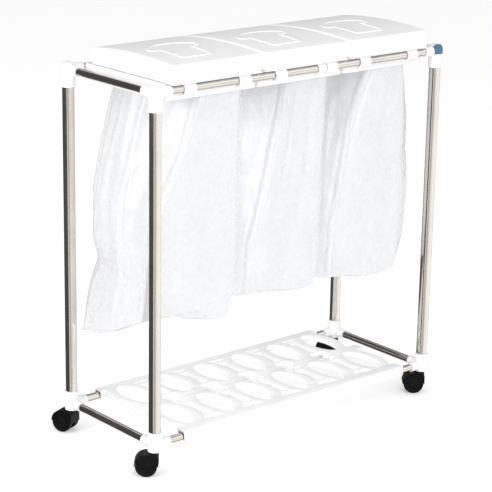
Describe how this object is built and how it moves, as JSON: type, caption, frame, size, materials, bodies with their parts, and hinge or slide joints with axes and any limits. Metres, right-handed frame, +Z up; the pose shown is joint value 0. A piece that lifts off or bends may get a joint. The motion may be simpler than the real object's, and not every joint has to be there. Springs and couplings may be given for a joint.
{
  "type": "laundry sorter on wheels",
  "caption": "Rolling laundry sorter: tube frame on swivel casters, hinged lids over hanging film bags, slotted shelf below.",
  "frame": {"origin": "centre of the whole part's box, on the floor", "axes": "+Z up, +X along the row of lids, front at -Y"},
  "size_m": [0.8392, 0.3612, 0.857],
  "materials": {
    "steel_tube": "polished stainless tube",
    "steel_pin": "plain steel",
    "white_plastic": "moulded white, satin",
    "lid_plastic": "moulded white, satin",
    "black_plastic": "moulded black",
    "black_tread": "hard black wheel",
    "bag_film": "frosted translucent film",
    "label_blue": "plain blue paper label"
  },
  "bodies": {
    "frame": {"upright_front_left": "steel_tube", "upright_front_right": "steel_tube", "upright_back_left": "steel_tube", "upright_back_right": "steel_tube", "bottom_rail_front": "steel_tube", "bottom_rail_back": "steel_tube", "bottom_rail_left": "steel_tube", "bottom_rail_right": "steel_tube", "top_rail_front": "steel_tube", "top_rail_back": "steel_tube", "top_rail_left": "steel_tube", "top_rail_right": "steel_tube", "top_connector_front_left": "white_plastic", "bottom_connector_front_left": "white_plastic", "top_connector_front_right": "white_plastic", "bottom_connector_front_right": "white_plastic", "top_connector_back_left": "white_plastic", "bottom_connector_back_left": "white_plastic", "top_connector_back_right": "white_plastic", "bottom_connector_back_right": "white_plastic", "caster_stem_front_left": "steel_pin", "caster_stem_front_right": "steel_pin", "caster_stem_back_left": "steel_pin", "caster_stem_back_right": "steel_pin", "shelf": "white_plastic", "bag_holder_1": "white_plastic", "lid_pin_1": "steel_pin", "bag_1": "bag_film", "bag_holder_2": "white_plastic", "lid_pin_2": "steel_pin", "bag_2": "bag_film", "bag_holder_3": "white_plastic", "lid_pin_3": "steel_pin", "bag_3": "bag_film", "rail_clip": "white_plastic", "label": "label_blue"},
    "caster_front_left": {"caster_hood_front_left": "black_plastic", "caster_axle_front_left": "steel_pin"},
    "wheel_near_front_left_body": {"wheel_near_front_left": "black_tread"},
    "wheel_far_front_left_body": {"wheel_far_front_left": "black_tread"},
    "caster_front_right": {"caster_hood_front_right": "black_plastic", "caster_axle_front_right": "steel_pin"},
    "wheel_near_front_right_body": {"wheel_near_front_right": "black_tread"},
    "wheel_far_front_right_body": {"wheel_far_front_right": "black_tread"},
    "caster_back_left": {"caster_hood_back_left": "black_plastic", "caster_axle_back_left": "steel_pin"},
    "wheel_near_back_left_body": {"wheel_near_back_left": "black_tread"},
    "wheel_far_back_left_body": {"wheel_far_back_left": "black_tread"},
    "caster_back_right": {"caster_hood_back_right": "black_plastic", "caster_axle_back_right": "steel_pin"},
    "wheel_near_back_right_body": {"wheel_near_back_right": "black_tread"},
    "wheel_far_back_right_body": {"wheel_far_back_right": "black_tread"},
    "lid_1_body": {"lid_1": "lid_plastic"},
    "lid_2_body": {"lid_2": "lid_plastic"},
    "lid_3_body": {"lid_3": "lid_plastic"}
  },
  "joints": [
    {"name": "swivel_front_left", "type": "hinge", "parent": "frame", "child": "caster_front_left", "pos_m": [-0.37571, -0.16144, 0.023], "axis": [0, 0, 1], "continuous": true},
    {"name": "roll_near_front_left", "type": "hinge", "parent": "caster_front_left", "child": "wheel_near_front_left_body", "pos_m": [-0.38865, -0.15042, 0.023], "axis": [-0.6481, -0.7615, 0], "continuous": true},
    {"name": "roll_far_front_left", "type": "hinge", "parent": "caster_front_left", "child": "wheel_far_front_left_body", "pos_m": [-0.38865, -0.15042, 0.023], "axis": [-0.6481, -0.7615, 0], "continuous": true},
    {"name": "swivel_front_right", "type": "hinge", "parent": "frame", "child": "caster_front_right", "pos_m": [0.40029, -0.16144, 0.023], "axis": [0, 0, 1], "continuous": true},
    {"name": "roll_near_front_right", "type": "hinge", "parent": "caster_front_right", "child": "wheel_near_front_right_body", "pos_m": [0.38735, -0.15042, 0.023], "axis": [-0.6481, -0.7615, 0], "continuous": true},
    {"name": "roll_far_front_right", "type": "hinge", "parent": "caster_front_right", "child": "wheel_far_front_right_body", "pos_m": [0.38735, -0.15042, 0.023], "axis": [-0.6481, -0.7615, 0], "continuous": true},
    {"name": "swivel_back_left", "type": "hinge", "parent": "frame", "child": "caster_back_left", "pos_m": [-0.37571, 0.13456, 0.023], "axis": [0, 0, 1], "continuous": true},
    {"name": "roll_near_back_left", "type": "hinge", "parent": "caster_back_left", "child": "wheel_near_back_left_body", "pos_m": [-0.38199, 0.15035, 0.023], "axis": [-0.9291, -0.3697, 0], "continuous": true},
    {"name": "roll_far_back_left", "type": "hinge", "parent": "caster_back_left", "child": "wheel_far_back_left_body", "pos_m": [-0.38199, 0.15035, 0.023], "axis": [-0.9291, -0.3697, 0], "continuous": true},
    {"name": "swivel_back_right", "type": "hinge", "parent": "frame", "child": "caster_back_right", "pos_m": [0.40029, 0.13456, 0.023], "axis": [0, 0, 1], "continuous": true},
    {"name": "roll_near_back_right", "type": "hinge", "parent": "caster_back_right", "child": "wheel_near_back_right_body", "pos_m": [0.38983, 0.14795, 0.023], "axis": [-0.788, -0.6157, 0], "continuous": true},
    {"name": "roll_far_back_right", "type": "hinge", "parent": "caster_back_right", "child": "wheel_far_back_right_body", "pos_m": [0.38983, 0.14795, 0.023], "axis": [-0.788, -0.6157, 0], "continuous": true},
    {"name": "lid_1_hinge", "type": "hinge", "parent": "frame", "child": "lid_1_body", "pos_m": [-0.22521, 0.11456, 0.821], "axis": [-1, 0, 0], "range_deg": [0, 100]},
    {"name": "lid_2_hinge", "type": "hinge", "parent": "frame", "child": "lid_2_body", "pos_m": [0.01229, 0.11456, 0.821], "axis": [-1, 0, 0], "range_deg": [0, 100]},
    {"name": "lid_3_hinge", "type": "hinge", "parent": "frame", "child": "lid_3_body", "pos_m": [0.24979, 0.11456, 0.821], "axis": [-1, 0, 0], "range_deg": [0, 100]}
  ]
}
